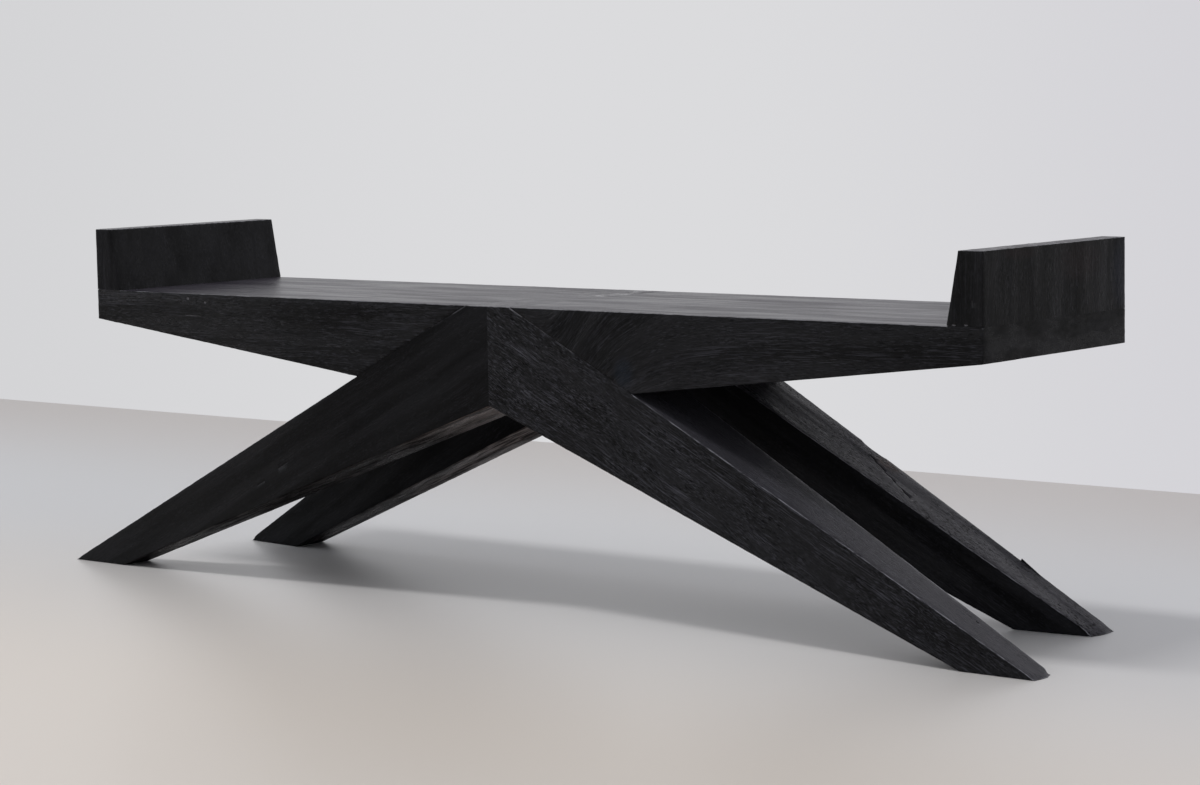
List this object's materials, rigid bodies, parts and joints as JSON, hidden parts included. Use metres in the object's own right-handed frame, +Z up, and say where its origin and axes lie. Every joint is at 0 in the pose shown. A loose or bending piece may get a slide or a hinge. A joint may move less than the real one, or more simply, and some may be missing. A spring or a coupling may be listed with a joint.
{
  "type": "bench",
  "caption": "Low bench in blackened solid wood: a seat that deepens towards its middle, a tapered upstand at each end, and tapering legs that spread in pairs from the centre.",
  "frame": {"origin": "on the floor, under the middle of the seat", "axes": "+X along the seat to the right as seen from the front, +Y from the front side to the back side, +Z up"},
  "size_m": [1.8, 0.356, 0.536],
  "materials": {
    "blackened_hardwood": "open-grained hardwood, brushed, stained black and waxed to a low satin",
    "raw_beech": "bare planed beech, hidden in the joints"
  },
  "bodies": {
    "root": {"seat": "blackened_hardwood", "left_upstand": "blackened_hardwood", "right_upstand": "blackened_hardwood", "front_left_leg": "blackened_hardwood", "front_right_leg": "blackened_hardwood", "back_left_leg": "blackened_hardwood", "back_right_leg": "blackened_hardwood", "left_upstand_dowels": "raw_beech", "right_upstand_dowels": "raw_beech", "front_mitre_tenons": "raw_beech", "back_mitre_tenons": "raw_beech", "tie_dowels": "raw_beech"}
  },
  "joints": []
}
